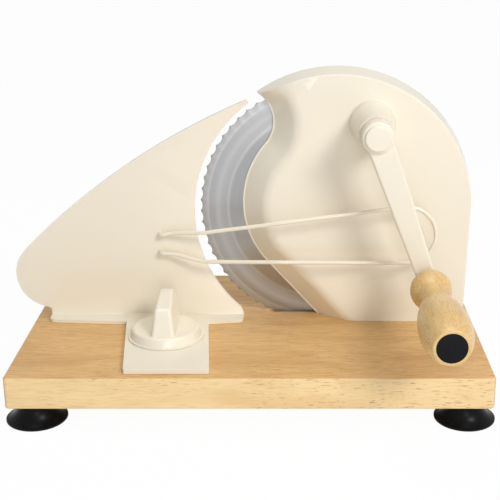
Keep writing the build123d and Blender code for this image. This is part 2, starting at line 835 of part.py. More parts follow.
head_plane = hub_seat.offset(arm_washer_thickness)
with BuildPart() as arm_screw:
    with BuildSketch(head_plane):
        Circle(arm_screw_head_radius)
    extrude(amount=arm_screw_head)
    chamfer(arm_screw.edges().sort_by(Axis.Y)[0], arm_screw_chamfer)
    with BuildSketch(head_plane.offset(arm_screw_head)):
        RegularPolygon(arm_screw_socket / 2, 6, major_radius=False)
    extrude(amount=-arm_screw_socket_depth, mode=Mode.SUBTRACT)
    with BuildSketch(head_plane):
        Circle(arm_screw_radius)
    extrude(amount=-arm_screw_length)
save(arm_screw.part, "arm_screw")

with BuildPart() as hub_cap:
    with BuildSketch(facing(crank_x, arm_front_y, crank_z)):
        Circle(cap_radius)
    extrude(amount=cap_proud)
    fillet(hub_cap.edges().sort_by(Axis.Y)[0], cap_edge_fillet)
    with BuildSketch(facing(crank_x, arm_front_y, crank_z)):
        Circle(hub_recess_radius - press_gap)
        Circle(hub_recess_radius - cap_wall, mode=Mode.SUBTRACT)
    extrude(amount=-cap_spigot_length)
save(hub_cap.part, "hub_cap")

handle_washer = tube(
    facing(handle_x, bar_front_y, handle_z),
    handle_washer_radius,
    handle_thread_radius + turn_gap,
    arm_setback,
)
save(handle_washer, "handle_washer")

with BuildPart() as handle_bolt:
    with BuildSketch(facing(handle_x, bar_back_y, handle_z)):
        Circle(handle_thread_radius)
    extrude(amount=bar_back_y - arm_front_y)
    with BuildSketch(facing(handle_x, arm_front_y, handle_z)):
        Circle(handle_bolt_radius)
    extrude(amount=arm_front_y - handle_seat_y + rest_gap)
    with BuildSketch(facing(handle_x, handle_seat_y - rest_gap, handle_z)):
        Circle(handle_bolt_head_radius)
    extrude(amount=handle_bolt_head)
    bolt_front = handle_bolt.faces().sort_by(Axis.Y)[0]
    chamfer(bolt_front.edges(), arm_screw_chamfer)
    with BuildSketch(facing(handle_x, handle_seat_y - rest_gap - handle_bolt_head, handle_z)):
        RegularPolygon(arm_screw_socket / 2, 6, major_radius=False)
    extrude(amount=-arm_screw_socket_depth, mode=Mode.SUBTRACT)
save(handle_bolt.part, "handle_bolt")

# =============================== Handle ===============================================================
ball_y = -handle_ball_seat
flat_radius = sqrt(handle_ball_radius**2 - handle_ball_seat**2)
with BuildPart() as handle_grip:
    with BuildSketch(level(handle_x, handle_y, handle_z)):
        with BuildLine():
            ThreePointArc((flat_radius, 0), (handle_ball_radius, ball_y), (flat_radius, 2 * ball_y))
            Spline(
                (flat_radius, 2 * ball_y),
                (handle_neck_radius, -handle_neck),
                ((handle_neck_radius + handle_belly_radius) / 2, -handle_swell),
                (handle_belly_radius, -handle_belly),
                (handle_end_radius, -handle_length),
            )
            Polyline((handle_end_radius, -handle_length), (0, -handle_length), (0, 0), (flat_radius, 0))
        make_face()
    revolve(axis=depth_axis(handle_x, handle_z))
    grip_front = handle_grip.faces().sort_by(Axis.Y)[0]
    fillet(grip_front.edges(), handle_end_fillet)
    with BuildSketch(facing(handle_x, handle_y, handle_z)):
        Circle(handle_bolt_radius + turn_gap)
    extrude(amount=handle_length, mode=Mode.SUBTRACT)
    with BuildSketch(facing(handle_x, handle_seat_y, handle_z)):
        Circle(handle_plug_radius)
    extrude(amount=handle_plug_depth, mode=Mode.SUBTRACT)
save(handle_grip.part, "handle_grip")

with BuildPart() as handle_cap:
    with BuildSketch(level(handle_x, handle_end_y, handle_z)):
        with BuildLine():
            outer = handle_plug_radius - press_gap
            inner = outer - handle_plug_wall
            Polyline(
                (outer, 0),
                (outer, handle_plug_skirt),
                (inner, handle_plug_skirt),
                (inner, handle_plug_skirt / 2),
                (0, handle_plug_skirt / 2),
                (0, -handle_plug_dome),
            )
            TangentArc((0, -handle_plug_dome), (outer, 0), tangent=(1, 0))
        make_face()
    revolve(axis=depth_axis(handle_x, handle_z))
save(handle_cap.part, "handle_cap")

# =============================== Stop plate and wire guard ============================================
stop_face = facing(board_x, front_y + stop_back_back, deck)
slide_plane = level(board_x, front_y, deck + rest_gap)
arc_centre = Vector(blade_offset_x + stop_arc_shift_x, blade_height + stop_arc_shift_z)
nose_centre = (stop_nose_x, stop_nose_height)
heel_reach = stop_nose_radius + stop_heel_fillet
heel_shift = stop_nose_x - stop_flange_left + stop_heel_fillet
heel_height = stop_nose_height - sqrt(heel_reach**2 - heel_shift**2)
nose_end = 180 + degrees(acos(heel_shift / heel_reach))

with BuildPart() as stop_plate:
    with BuildSketch(stop_face):
        with BuildLine():
            concave = CenterArc(
                arc_centre, stop_arc_radius, stop_tip_bearing, stop_foot_bearing - stop_tip_bearing
            )
            tip = PolarLine(concave @ 0, stop_tip_width, stop_tip_bearing)
            nose = CenterArc(
                nose_centre, stop_nose_radius, stop_nose_start, nose_end - stop_nose_start
            )
            ThreePointArc(tip @ 1, (stop_top_x, stop_top_height), nose @ 0)
            heel = TangentArc(nose @ 1, (stop_flange_left, heel_height), tangent=nose % 1)
            Polyline(
                heel @ 1,
                (stop_flange_left, rest_gap),
                (stop_flange_right, rest_gap),
                (stop_flange_right, stop_flange_height),
                concave @ 1,
            )
        make_face()
    extrude(amount=stop_thickness)
    front_face = stop_plate.faces().sort_by(Axis.Y)[0]
    concave_edge = front_face.edges().filter_by(GeomType.CIRCLE)
    concave_edge = concave_edge.filter_by(lambda edge: abs(edge.radius - stop_arc_radius) < press_gap)
    chamfer(concave_edge, stop_bevel_width, stop_bevel_depth, reference=front_face)
    # the flange, which reaches furthest where the tongue leaves it
    with BuildSketch(slide_plane) as flange:
        end_back = stop_front_back - stop_flange_reach
        with BuildLine():
            Polyline(
                (stop_flange_left, stop_back_back),
                (stop_flange_left, end_back),
                (tongue_back_x - tongue_back_width / 2, end_back - stop_flange_swell),
                (tongue_back_x + tongue_back_width / 2, end_back - stop_flange_swell),
                (stop_flange_right, end_back),
                (stop_flange_right, stop_back_back),
                close=True,
            )
        make_face()
        end_corners = flange.vertices().group_by(Axis.Y)[1]
        fillet(end_corners, stop_flange_corner)
    extrude(amount=stop_flange_height - rest_gap)
    flange_root = stop_plate.edges().filter_by(Axis.X).filter_by_position(
        Axis.Z, deck + stop_flange_height - press_gap, deck + stop_flange_height + press_gap
    )
    fillet(flange_root.sort_by(Axis.Y)[-1], stop_flange_fillet)
    # the tongue and the rib under it, which slides in the board's groove
    with BuildSketch(slide_plane) as tongue:
        half = tongue_width / 2
        with BuildLine():
            Polyline(
                (tongue_front_x - half, tongue_front),
                (tongue_front_x + half, tongue_front),
                (tongue_back_x + tongue_back_width / 2, stop_front_back),
                (tongue_back_x - tongue_back_width / 2, stop_front_back),
                close=True,
            )
        make_face()
        fillet(tongue.vertices().group_by(Axis.Y)[0], tongue_corner)
    extrude(amount=tongue_thickness)
    with BuildSketch(slide_plane):
        with Locations((tongue_back_x, stop_back_back)):
            Rectangle(rib_width, rib_length, align=(Align.CENTER, Align.MAX))
    extrude(amount=-rib_depth)
    # the slot that slides along the clamp bolt
    slot_radius = clamp_radius + free_gap
    with BuildSketch(slide_plane):
        with Locations((knob_x, knob_back + (stop_forward - stop_back) / 2)):
            SlotOverall(stop_forward + stop_back + 2 * slot_radius, 2 * slot_radius, rotation=90)
    extrude(amount=tongue_thickness, mode=Mode.SUBTRACT)
    with BuildSketch(stop_face):
        with Locations((wire_hole_x, wire_hole_height), (wire_hole_x, wire_lower_hole_height)):
            Circle(wire_radius + press_gap)
    extrude(amount=stop_thickness, mode=Mode.SUBTRACT)
save(stop_plate.part, "stop_plate")

with BuildPart() as wire_guard:
    with BuildLine(slide_plane.offset(-rest_gap)) as wire:
        FilletPolyline(
            (wire_hole_x, stop_back_back, wire_hole_height),
            (wire_hole_x, wire_hole_back, wire_hole_height),
            (wire_stub_x, wire_hole_back, wire_stub_height),
            (wire_knee_x, wire_knee_back, wire_knee_height),
            (wire_bend_x, wire_back, wire_bend_height),
            (wire_loop_end_x, wire_back, wire_loop_top),
            (wire_loop_end_x, wire_back, wire_loop_bottom),
            (wire_bend_x, wire_back, wire_lower_bend_height),
            (wire_knee_x, wire_knee_back, wire_lower_knee_height),
            (wire_stub_x, wire_hole_back, wire_lower_stub_height),
            (wire_hole_x, wire_hole_back, wire_lower_hole_height),
            (wire_hole_x, stop_back_back, wire_lower_hole_height),
            radius=[
                *[wire_turn_radius] * 2,
                *[wire_bend_radius] * 2,
                *[wire_loop_radius] * 2,
                *[wire_bend_radius] * 2,
                *[wire_turn_radius] * 2,
            ],
        )
    with BuildSketch(wire.line ^ 0):
        Circle(wire_radius)
    sweep(path=wire.line)
save(wire_guard.part, "wire_guard")

# =============================== Clamp knob ===========================================================
disc_top_z = deck + disc_bottom + knob_height


def at_root(foot, top, height):
    """Where a slanted side of the wing ends inside the disc."""
    return foot + (foot - top) * wing_fillet / height


with BuildPart() as wing:
    side_plane = Plane(
        origin=(knob_axis_x, knob_axis_y, disc_top_z), x_dir=(0, 1, 0), z_dir=(1, 0, 0)
    )
    with BuildSketch(side_plane):
        with BuildLine():
            Polyline(
                (at_root(-wing_front, -wing_brow, wing_brow_height), -wing_fillet),
                (-wing_brow, wing_brow_height),
                (wing_peak, wing_height),
                (wing_shoulder, wing_height),
                (at_root(wing_back, wing_shoulder, wing_height), -wing_fillet),
                close=True,
            )
        make_face()
    extrude(amount=wing_width, both=True)
    brow_edge = wing.edges().filter_by(Axis.X).sort_by_distance(
        (knob_axis_x, knob_axis_y - wing_brow, disc_top_z + wing_brow_height)
    )[0]
    fillet(brow_edge, wing_brow_fillet)
    with BuildSketch(facing(knob_axis_x, knob_axis_y + knob_radius, disc_top_z)):
        with BuildLine():
            half_top = wing_top_width / 2
            half_root = at_root(wing_width / 2, half_top, wing_height)
            Polyline(
                (-half_root, -wing_fillet),
                (half_root, -wing_fillet),
                (half_top, wing_height),
                (-half_top, wing_height),
                close=True,
            )
        make_face()
    extrude(amount=2 * knob_radius, mode=Mode.INTERSECT)
    upper_edges = wing.edges() - wing.faces().sort_by(Axis.Z)[0].edges()
    fillet(upper_edges, wing_fillet)

with BuildPart() as clamp_knob:
    with BuildSketch(level(knob_axis_x, knob_axis_y, deck + disc_bottom)):
        Circle(knob_radius - knob_lip_step)
    extrude(amount=knob_height, taper=degrees(atan(knob_slope / knob_height)))
    fillet(clamp_knob.faces().sort_by(Axis.Z)[-1].edges(), knob_edge_fillet)
    with BuildSketch(level(knob_axis_x, knob_axis_y, deck + disc_bottom)):
        Circle(knob_radius)
    extrude(amount=knob_lip)
    add(wing.part)
    with BuildSketch(level(knob_axis_x, knob_axis_y, deck + disc_bottom)):
        Circle(clamp_washer_radius + press_gap)
    extrude(amount=washer_top - disc_bottom, mode=Mode.SUBTRACT)
    with BuildSketch(level(knob_axis_x, knob_axis_y, deck + washer_top)):
        Circle(insert_radius + press_gap)
    extrude(amount=insert_length + rest_gap, mode=Mode.SUBTRACT)
save(clamp_knob.part, "clamp_knob")

clamp_bore = clamp_radius + turn_gap
washer_plane = level(knob_axis_x, knob_axis_y, deck + disc_bottom)
save(tube(washer_plane, clamp_washer_radius, clamp_bore, clamp_washer), "knob_washer")
insert_plane = washer_plane.offset(clamp_washer)
save(tube(insert_plane, insert_radius, clamp_bore, insert_length), "knob_insert")

with BuildPart() as clamp_bolt:
    with BuildSketch(level(knob_axis_x, knob_axis_y, clamp_seat_z)):
        Circle(clamp_head_radius)
    extrude(amount=-clamp_head)
    fillet(clamp_bolt.edges().sort_by(Axis.Z)[0], clamp_head_fillet)
    with BuildSketch(level(knob_axis_x, knob_axis_y, clamp_seat_z)):
        Rectangle(clamp_square, clamp_square)
    extrude(amount=clamp_neck)
    with BuildSketch(level(knob_axis_x, knob_axis_y, clamp_seat_z)):
        Circle(clamp_radius)
    extrude(amount=deck + clamp_reach - clamp_seat_z)
    chamfer(clamp_bolt.edges().sort_by(Axis.Z)[-1], clamp_chamfer)
save(clamp_bolt.part, "clamp_bolt")
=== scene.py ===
# %% [markdown]
# # A hand-cranked bread slicer
# The machine is a beech board on four suction feet. It carries a cream cover with a toothed
# disc blade, a crank with a turned handle, and a sliding stop plate with a wire guard.
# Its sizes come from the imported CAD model, which is loaded here as a fixed frame. This script
# adds what the CAD model lacks: smooth surfaces, finishes, light and a camera. The frame could
# be rebuilt here by hand, but loading it keeps every hole, gap and joint where the CAD has it.

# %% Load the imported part
import json
import math

import bmesh
import bpy
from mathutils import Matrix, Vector

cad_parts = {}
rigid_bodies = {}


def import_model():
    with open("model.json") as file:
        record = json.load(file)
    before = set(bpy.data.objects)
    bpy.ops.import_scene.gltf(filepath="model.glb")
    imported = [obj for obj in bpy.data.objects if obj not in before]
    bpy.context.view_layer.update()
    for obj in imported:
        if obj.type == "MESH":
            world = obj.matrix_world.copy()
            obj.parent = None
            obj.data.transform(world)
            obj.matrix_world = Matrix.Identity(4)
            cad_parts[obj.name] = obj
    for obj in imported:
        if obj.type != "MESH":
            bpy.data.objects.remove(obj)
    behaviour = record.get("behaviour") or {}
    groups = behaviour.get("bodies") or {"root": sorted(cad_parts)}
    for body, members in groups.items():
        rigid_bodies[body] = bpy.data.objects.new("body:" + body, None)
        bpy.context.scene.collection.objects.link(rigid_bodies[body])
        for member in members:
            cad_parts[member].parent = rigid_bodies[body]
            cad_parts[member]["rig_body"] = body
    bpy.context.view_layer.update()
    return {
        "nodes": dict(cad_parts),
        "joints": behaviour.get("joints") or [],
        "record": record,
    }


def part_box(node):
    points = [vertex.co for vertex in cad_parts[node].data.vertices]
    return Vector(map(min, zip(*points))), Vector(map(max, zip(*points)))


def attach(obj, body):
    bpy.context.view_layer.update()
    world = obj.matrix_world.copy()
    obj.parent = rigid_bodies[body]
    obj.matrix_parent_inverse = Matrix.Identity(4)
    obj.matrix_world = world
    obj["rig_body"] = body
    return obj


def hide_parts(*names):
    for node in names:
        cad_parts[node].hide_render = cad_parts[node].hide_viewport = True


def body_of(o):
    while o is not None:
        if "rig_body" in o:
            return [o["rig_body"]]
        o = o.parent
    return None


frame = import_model()
nodes = frame["nodes"]
joint_place = {joint["name"]: Vector(joint["pos_m"]) for joint in frame["joints"]}
node_body = {name: body_of(node)[0] for name, node in nodes.items()}
node_slot = {part["node"]: part["material_slot"] for part in frame["record"]["subparts"]}
MM = 0.001

# %% [markdown]
# ## The camera
# The photograph looks slightly down on the machine from the front, a little to the right of
# its middle. A camera could be tried by eye, but the board's straight edges give the angle:
# their vanishing points fix the pitch and the length of the lens, and its width the distance.

# %% Camera
pitch_down = 18.778
camera_data = bpy.data.cameras.new("photograph_view")
camera_data.sensor_width = 36
camera_data.lens = 75.6
camera_data.shift_x = -0.071
camera = bpy.data.objects.new("photograph_view", camera_data)
camera.location = (28.7 * MM, -707.4 * MM, 344.8 * MM)
camera.rotation_euler = (math.radians(90 - pitch_down), 0, 0)
bpy.context.scene.collection.objects.link(camera)
bpy.context.scene.camera = camera
bpy.context.scene.view_settings.view_transform = "Standard"
print("camera looks down by", pitch_down, "degrees")

# %% [markdown]
# ## Writing nodes as expressions
# A finish such as enamel is a small program of nodes, and so is a recipe for a shape. The nodes
# could be placed and linked one by one, but sums such as `grain * 0.4 + pores` are hard to read
# that way. Here one small class wraps a socket and turns Python's operators into Math nodes,
# and one method makes every other kind of node.


# %% Sockets that can be added and multiplied
class Value:
    """A socket of a node tree, on which Python's operators make Math nodes."""

    def __init__(self, owner, socket):
        self.owner = owner
        self.socket = socket

    def math(self, operation, *others):
        inputs = dict(enumerate([self, *others]))
        return self.owner.node("ShaderNodeMath", {"operation": operation}, inputs)["Value"]

    def __add__(self, other):
        return self.math("ADD", other)

    def __sub__(self, other):
        return self.math("SUBTRACT", other)

    def __rsub__(self, other):
        return (self * -1) + other

    def __mul__(self, other):
        return self.math("MULTIPLY", other)

    def __truediv__(self, other):
        return self.math("DIVIDE", other)

    def __rtruediv__(self, other):
        return (self**-1) * other

    def __pow__(self, other):
        return self.math("POWER", other)

    def __abs__(self):
        return self.math("ABSOLUTE")

    __radd__ = __add__
    __rmul__ = __mul__

    def held(self):
        """The value kept between 0 and 1."""
        return self.math("MINIMUM", 1).math("MAXIMUM", 0)


# %% What finishes and recipes have in common
class NodeWork:
    """Something that is made of nodes: a finish or a recipe for a shape."""

    def join(self, node, name, value):
        """Links a value to an input of a node, or sets it there."""
        if isinstance(name, int):
            socket = node.inputs[name]
        else:
            socket = next(s for s in node.inputs if s.enabled and s.name == name)
        if isinstance(value, Value):
            self.tree.links.new(value.socket, socket)
        else:
            socket.default_value = value

    def node(self, kind, settings=None, inputs=None):
        """A node with its settings and inputs. Returns its outputs by name."""
        node = self.tree.nodes.new(kind)
        for name, value in (settings or {}).items():
            setattr(node, name, value)
        for name, value in (inputs or {}).items():
            self.join(node, name, value)
        return {s.name: Value(self, s) for s in node.outputs if s.enabled}

    def vector(self, operation, *others):
        """Vector maths on places and directions."""
        inputs = dict(enumerate(others))
        return self.node("ShaderNodeVectorMath", {"operation": operation}, inputs)["Vector"]

    def seen(self):
        """1 for rays that look at something straight, in a mirror or through glass."""
        path = self.node("ShaderNodeLightPath")
        kinds = ("Is Camera Ray", "Is Glossy Ray", "Is Transmission Ray")
        return (path[kinds[0]] + path[kinds[1]] + path[kinds[2]]).held()


# %% A finish
class Finish(NodeWork):
    """A material that is built from expressions and that ends in one shader."""

    def __init__(self, name):
        self.material = bpy.data.materials.new(name)
        self.material.use_nodes = True
        self.tree = self.material.node_tree
        self.tree.nodes.clear()
        self.shader = self.tree.nodes.new("ShaderNodeBsdfPrincipled")
        output = self.tree.nodes.new("ShaderNodeOutputMaterial")
        self.tree.links.new(self.shader.outputs[0], output.inputs["Surface"])

    def surface(self, **inputs):
        """Sets the shader's own inputs, with spaces written as underscores."""
        for name, value in inputs.items():
            self.join(self.shader, name.replace("_", " "), value)

    def places(self, scale=(1, 1, 1), centre=(0, 0, 0)):
        """Object coordinates about a centre, stretched."""
        coordinates = self.node("ShaderNodeTexCoord")["Object"]
        moved = self.vector("SUBTRACT", coordinates, centre)
        return self.node("ShaderNodeMapping", {}, {"Vector": moved, "Scale": scale})["Vector"]

    def noise(self, vector, scale, detail=2, roughness=0.5, distortion=0):
        inputs = {
            "Vector": vector,
            "Scale": scale,
            "Detail": detail,
            "Roughness": roughness,
            "Distortion": distortion,
        }
        return self.node("ShaderNodeTexNoise", {}, inputs)["Fac"]

    def band(self, value, low, high):
        """0 below low, 1 above high and a smooth step between them."""
        inputs = {"Value": value, "From Min": low, "From Max": high}
        settings = {"interpolation_type": "SMOOTHSTEP"}
        return self.node("ShaderNodeMapRange", settings, inputs)["Result"]

    def ridge(self, value, middle, width):
        """1 at the middle, falling to 0 at half the width on either side."""
        return 1 - self.band(abs(value - middle), 0, width / 2)

    def mixed(self, factor, first, second):
        """One colour over another."""
        inputs = {"Factor": factor, "A": first, "B": second}
        return self.node("ShaderNodeMix", {"data_type": "RGBA"}, inputs)["Result"]

    def bumped(self, height, distance):
        """Sets the shader's normal from a height between 0 and 1."""
        inputs = {"Height": height, "Distance": distance, "Strength": 1}
        self.surface(Normal=self.node("ShaderNodeBump", {}, inputs)["Normal"])

    def edge_wear_and_highlight(self, radius):
        """1 on edges, from how far a rounded normal leans from the real one."""
        rounded = self.node("ShaderNodeBevel", {"samples": 4}, {"Radius": radius})["Normal"]
        straight = self.node("ShaderNodeNewGeometry")["Normal"]
        settings = {"operation": "DOT_PRODUCT"}
        lean = self.node("ShaderNodeVectorMath", settings, {0: rounded, 1: straight})["Value"]
        return ((1 - lean) * 3).held()


def shade(red, green, blue):
    """A colour as it is seen on a screen, from 0 to 255, as the shader wants it."""
    channels = [value / 255 for value in (red, green, blue)]
    return (*[c / 12.92 if c < 0.04045 else ((c + 0.055) / 1.055) ** 2.4 for c in channels], 1)


# %% [markdown]
# ## Cream enamel
# The cover, the stop plate and the crank are metal with a stoved cream enamel. It is smooth and
# half glossy, with a faint ripple like orange peel and a little dust and handling in its gloss.
# A flat colour would look like plastic film, so the tone drifts slowly over the surface, the
# edges are painted a little paler as a painted highlight on their rounds, and noise at two
# scales moves the roughness and the bump.


# %% Enamel and the knob's plastic
def cream_finish(name, ripple, roughness):
    """The cream of the painted metal, and of the plastic that is moulded to match it."""
    finish = Finish(name)
    place = finish.places()
    drift = finish.noise(place, 9, 3)
    handling = finish.noise(place, 70, 5, 0.65)
    specks = finish.band(finish.noise(place, 900, 2), 0.7, 0.78)
    tone = finish.mixed(drift, shade(243, 235, 217), shade(240, 231, 211))
    # painted highlight: the edges are painted paler, as if light catches their rounds
    tone = finish.mixed(finish.edge_wear_and_highlight(0.8 * MM) * 0.6, tone, shade(248, 243, 230))
    tone = finish.mixed(specks * 0.12, tone, shade(176, 160, 128))
    finish.surface(
        Base_Color=tone,
        Roughness=roughness + handling * 0.1,
        Coat_Weight=0.5,
        Coat_Roughness=0.06,
    )
    finish.bumped(finish.noise(place, 1 / ripple, 2) * 0.8 + specks * 0.2, 0.03 * MM)
    return finish.material


enamel = cream_finish("cream_enamel", 2.6 * MM, 0.32)
cream_plastic = cream_finish("cream_plastic", 1.1 * MM, 0.3)
print("made", enamel.name, "and", cream_plastic.name)

# %% [markdown]
# ## Beech
# Beech has fine grain lines that wander a little, and many short dark flecks, which are its rays
# cut across. The grain runs along the board and along the handle. A picture of wood could be
# used, but it would repeat and would not turn the corner of the board. Noise that is stretched
# along the grain runs through the whole piece, so that the top, the edge and the end grain agree.
# Where the surface cuts across the grain, the wood is darker and shows its year rings.


# %% What the two beeches share
def along_grain(finish, along, length, width, wander=0.0):
    """Places that are stretched so that one noise cell is length by width, and that wander."""
    stretch = [1 / width] * 3
    stretch[along] = 1 / length
    if not wander:
        return finish.places(scale=tuple(stretch))
    place = finish.places()
    bends = {"Vector": place, "Scale": 1 / (40 * MM)}
    drift = finish.node("ShaderNodeTexNoise", {}, bends)["Color"]
    drift = finish.vector("SUBTRACT", drift, (0.5, 0.5, 0.5))
    drift = finish.vector("MULTIPLY", drift, (wander, wander, wander))
    place = finish.vector("ADD", place, drift)
    return finish.vector("MULTIPLY", place, tuple(stretch))


# %% The board's oiled beech
def board_finish():
    """Grain along X. The top is painted darker than the front edge: painted shade, as less light
    falls on the top.
    """
    finish = Finish("oiled_beech")
    normal = finish.node("ShaderNodeTexCoord")["Normal"]
    facing_way = finish.node("ShaderNodeSeparateXYZ", {}, {"Vector": normal})
    top_painted_shade = finish.band(facing_way["Z"], 0.3, 0.9)
    on_end = finish.band(abs(facing_way["X"]), 0.5, 0.9)
    clouds = finish.noise(along_grain(finish, 0, 90 * MM, 26 * MM), 1, 3, 0.6, 0.8)
    lines = finish.noise(along_grain(finish, 0, 34 * MM, 1.3 * MM, 9 * MM), 1, 3, 0.55)
    fine = finish.noise(along_grain(finish, 0, 14 * MM, 0.75 * MM, 4 * MM), 1, 3, 0.6)
    flecks = finish.noise(along_grain(finish, 0, 7 * MM, 0.6 * MM, 3 * MM), 1, 1)
    where = finish.noise(finish.places(), 17, 2)
    flecks = finish.band(flecks, 0.63, 0.72) * finish.band(where, 0.42, 0.62)
    # painted shade: the top is painted darker and browner than the front edge
    tone = finish.mixed(top_painted_shade, shade(246, 216, 162), shade(228, 187, 126))
    deep = finish.mixed(top_painted_shade, shade(226, 186, 126), shade(198, 148, 88))
    tone = finish.mixed(finish.band(clouds, 0.42, 0.72) * 0.55, tone, deep)
    tone = finish.mixed(finish.band(lines, 0.46, 0.7) * (top_painted_shade * 0.35 + 0.25), tone, deep)
    tone = finish.mixed(finish.band(fine, 0.5, 0.66) * 0.5, tone, deep)
    tone = finish.mixed(flecks * 0.7, tone, shade(150, 100, 54))
    across = finish.node("ShaderNodeSeparateXYZ", {}, {"Vector": finish.places()})
    heart_y, heart_z, year = -30 * MM, -90 * MM, 2.4 * MM
    rings = ((across["Y"] - heart_y) ** 2 + (across["Z"] - heart_z) ** 2) ** 0.5
    rings = ((rings + clouds * 4 * MM) * (2 * math.pi / year)).math("SINE") * 0.5 + 0.5
    end_tone = finish.mixed(rings * 0.6, shade(214, 170, 112), shade(172, 124, 74))
    tone = finish.mixed(on_end, tone, end_tone)
    # painted highlight: the rounded edges are painted paler, where light catches them
    tone = finish.mixed(finish.edge_wear_and_highlight(1.2 * MM) * 0.45, tone, shade(246, 218, 168))
    finish.surface(
        Base_Color=tone,
        Roughness=0.46 + fine * 0.16,
        Coat_Weight=0.12,
        Coat_Roughness=0.25,
    )
    finish.bumped(fine * 0.5 + lines * 0.3 - flecks * 0.4, 0.05 * MM)
    return finish.material


# %% The handle's lacquered beech
def handle_finish():
    """Grain along Y, warmer than the board, with fine flecks under a thin lacquer."""
    finish = Finish("lacquered_beech")
    clouds = finish.noise(along_grain(finish, 1, 60 * MM, 12 * MM), 1, 3, 0.6, 0.5)
    lines = finish.noise(along_grain(finish, 1, 26 * MM, 1.0 * MM, 5 * MM), 1, 3, 0.55)
    fine = finish.noise(along_grain(finish, 1, 6 * MM, 0.3 * MM, 2 * MM), 1, 2)
    flecks = finish.noise(along_grain(finish, 1, 2.6 * MM, 0.6 * MM, 2 * MM), 1, 1)
    flecks = finish.band(flecks, 0.62, 0.72)
    tone = finish.mixed(finish.band(clouds, 0.4, 0.75), shade(234, 198, 132), shade(222, 180, 112))
    tone = finish.mixed(finish.band(lines, 0.45, 0.7) * 0.5, tone, shade(200, 152, 86))
    tone = finish.mixed(finish.band(fine, 0.45, 0.8) * 0.3, tone, shade(190, 140, 78))
    tone = finish.mixed(flecks * 0.5, tone, shade(156, 104, 54))
    finish.surface(
        Base_Color=tone,
        Roughness=0.34 + fine * 0.1,
        Coat_Weight=0.45,
        Coat_Roughness=0.16,
    )
    finish.bumped(fine * 0.5 + lines * 0.3 - flecks * 0.3, 0.03 * MM)
    return finish.material


board_beech = board_finish()
handle_beech = handle_finish()
print("made", board_beech.name, "and", handle_beech.name)

# %% [markdown]
# ## Rubber, steel, brass and plastics
# The feet are black rubber with a slight bloom. The blade is rolled steel that was polished as
# it turned, so its fine scratches are circles about its axle, and its edge is ground. The small
# fasteners are zinc plated. Each could be one plain metal, but metal only looks real when its
# roughness and its normal change over the surface, so each gets the marks of its making.


# %% Rubber and black plastic
def dark_finish(name, colour, roughness, grain):
    """Black with a weak sheen, a cloudy bloom, fine pits and edges that are rubbed grey."""
    finish = Finish(name)
    place = finish.places()
    bloom = finish.noise(place, 60, 4, 0.6)
    pits = finish.noise(place, 1 / grain, 2)
    tone = finish.mixed(bloom * 0.6, colour, shade(24, 24, 26))
    tone = finish.mixed(finish.edge_wear_and_highlight(0.6 * MM) * 0.4, tone, shade(48, 48, 50))
    finish.surface(Base_Color=tone, Roughness=roughness + bloom * 0.15, Specular_IOR_Level=0.1)
    finish.bumped(pits, 0.03 * MM)
    return finish.material


rubber = dark_finish("black_rubber", shade(12, 12, 13), 0.26, 1.4 * MM)
black_plastic = dark_finish("black_plastic", shade(20, 21, 25), 0.4, 0.7 * MM)
print("made", rubber.name, "and", black_plastic.name)


# %% Metals
def radius_about(finish, axis_place):
    """How far a point lies from a line along Y, in metres."""
    place = finish.places(centre=tuple(axis_place))
    parts = finish.node("ShaderNodeSeparateXYZ", {}, {"Vector": place})
    return (parts["X"] * parts["X"] + parts["Z"] * parts["Z"]) ** 0.5


def blade_finish(axis_place):
    """Rolled steel, polished as it turned: circles about the axle and a ground edge, with painted
    highlight rings at its steps and a painted dark line along the teeth.
    """
    finish = Finish("polished_blade_steel")
    radius = radius_about(finish, axis_place)
    fine_place = finish.node("ShaderNodeCombineXYZ", {}, {"X": radius * 2200})["Vector"]
    wide_place = finish.node("ShaderNodeCombineXYZ", {}, {"X": radius * 260})["Vector"]
    circles, bands = finish.noise(fine_place, 1, 4, 0.7), finish.noise(wide_place, 1, 2)
    smudges = finish.noise(finish.places(), 24, 3)
    tone = finish.mixed(circles * 0.75 + bands * 0.25, shade(150, 150, 152), shade(186, 186, 187))
    # painted highlights: light rings are painted at radius 80 mm and at the pressed step
    painted_ring_highlight = finish.ridge(radius, 80 * MM, 7 * MM)
    painted_step_highlight = finish.ridge(radius, 72.5 * MM, 4 * MM)
    ground = finish.band(radius, 86.4 * MM, 87.4 * MM)
    # painted shade: a dark line is painted along the teeth
    painted_dark_teeth = finish.band(radius, 91.4 * MM, 92.8 * MM)
    tone = finish.mixed(painted_ring_highlight * 0.2, tone, shade(206, 206, 207))
    tone = finish.mixed(painted_step_highlight * 0.3, tone, shade(212, 212, 212))
    tone = finish.mixed(ground * 0.7, tone, shade(200, 200, 202))
    tone = finish.mixed(painted_dark_teeth * 0.5, tone, shade(120, 120, 124))
    finish.surface(
        Base_Color=tone,
        Metallic=1.0,
        Roughness=0.26 + circles * 0.12 + smudges * 0.1 + ground * 0.08,
    )
    finish.bumped(circles * 0.8 + bands * 0.2, 0.012 * MM)
    return finish.material


blade_axis = joint_place["blade_turn"]
blade_steel = blade_finish(blade_axis)


def plated_metal(name, tone_low, tone_high, roughness):
    """Small turned or rolled parts: even, with a faint cloud and rubbed edges."""
    finish = Finish(name)
    place = finish.places()
    cloud = finish.noise(place, 240, 4, 0.6)
    tone = finish.mixed(cloud, tone_low, tone_high)
    tone = finish.mixed(finish.edge_wear_and_highlight(0.4 * MM) * 0.6, tone, tone_high)
    finish.surface(Base_Color=tone, Metallic=1.0, Roughness=roughness + cloud * 0.15)
    finish.bumped(finish.noise(place, 1500, 2), 0.01 * MM)
    return finish.material


zinc_steel = plated_metal("zinc_plated_steel", shade(176, 178, 182), shade(214, 215, 216), 0.26)
bush_brass = plated_metal("bush_brass", shade(190, 156, 96), shade(224, 192, 130), 0.28)
print("made", blade_steel.name + ",", zinc_steel.name, "and", bush_brass.name)


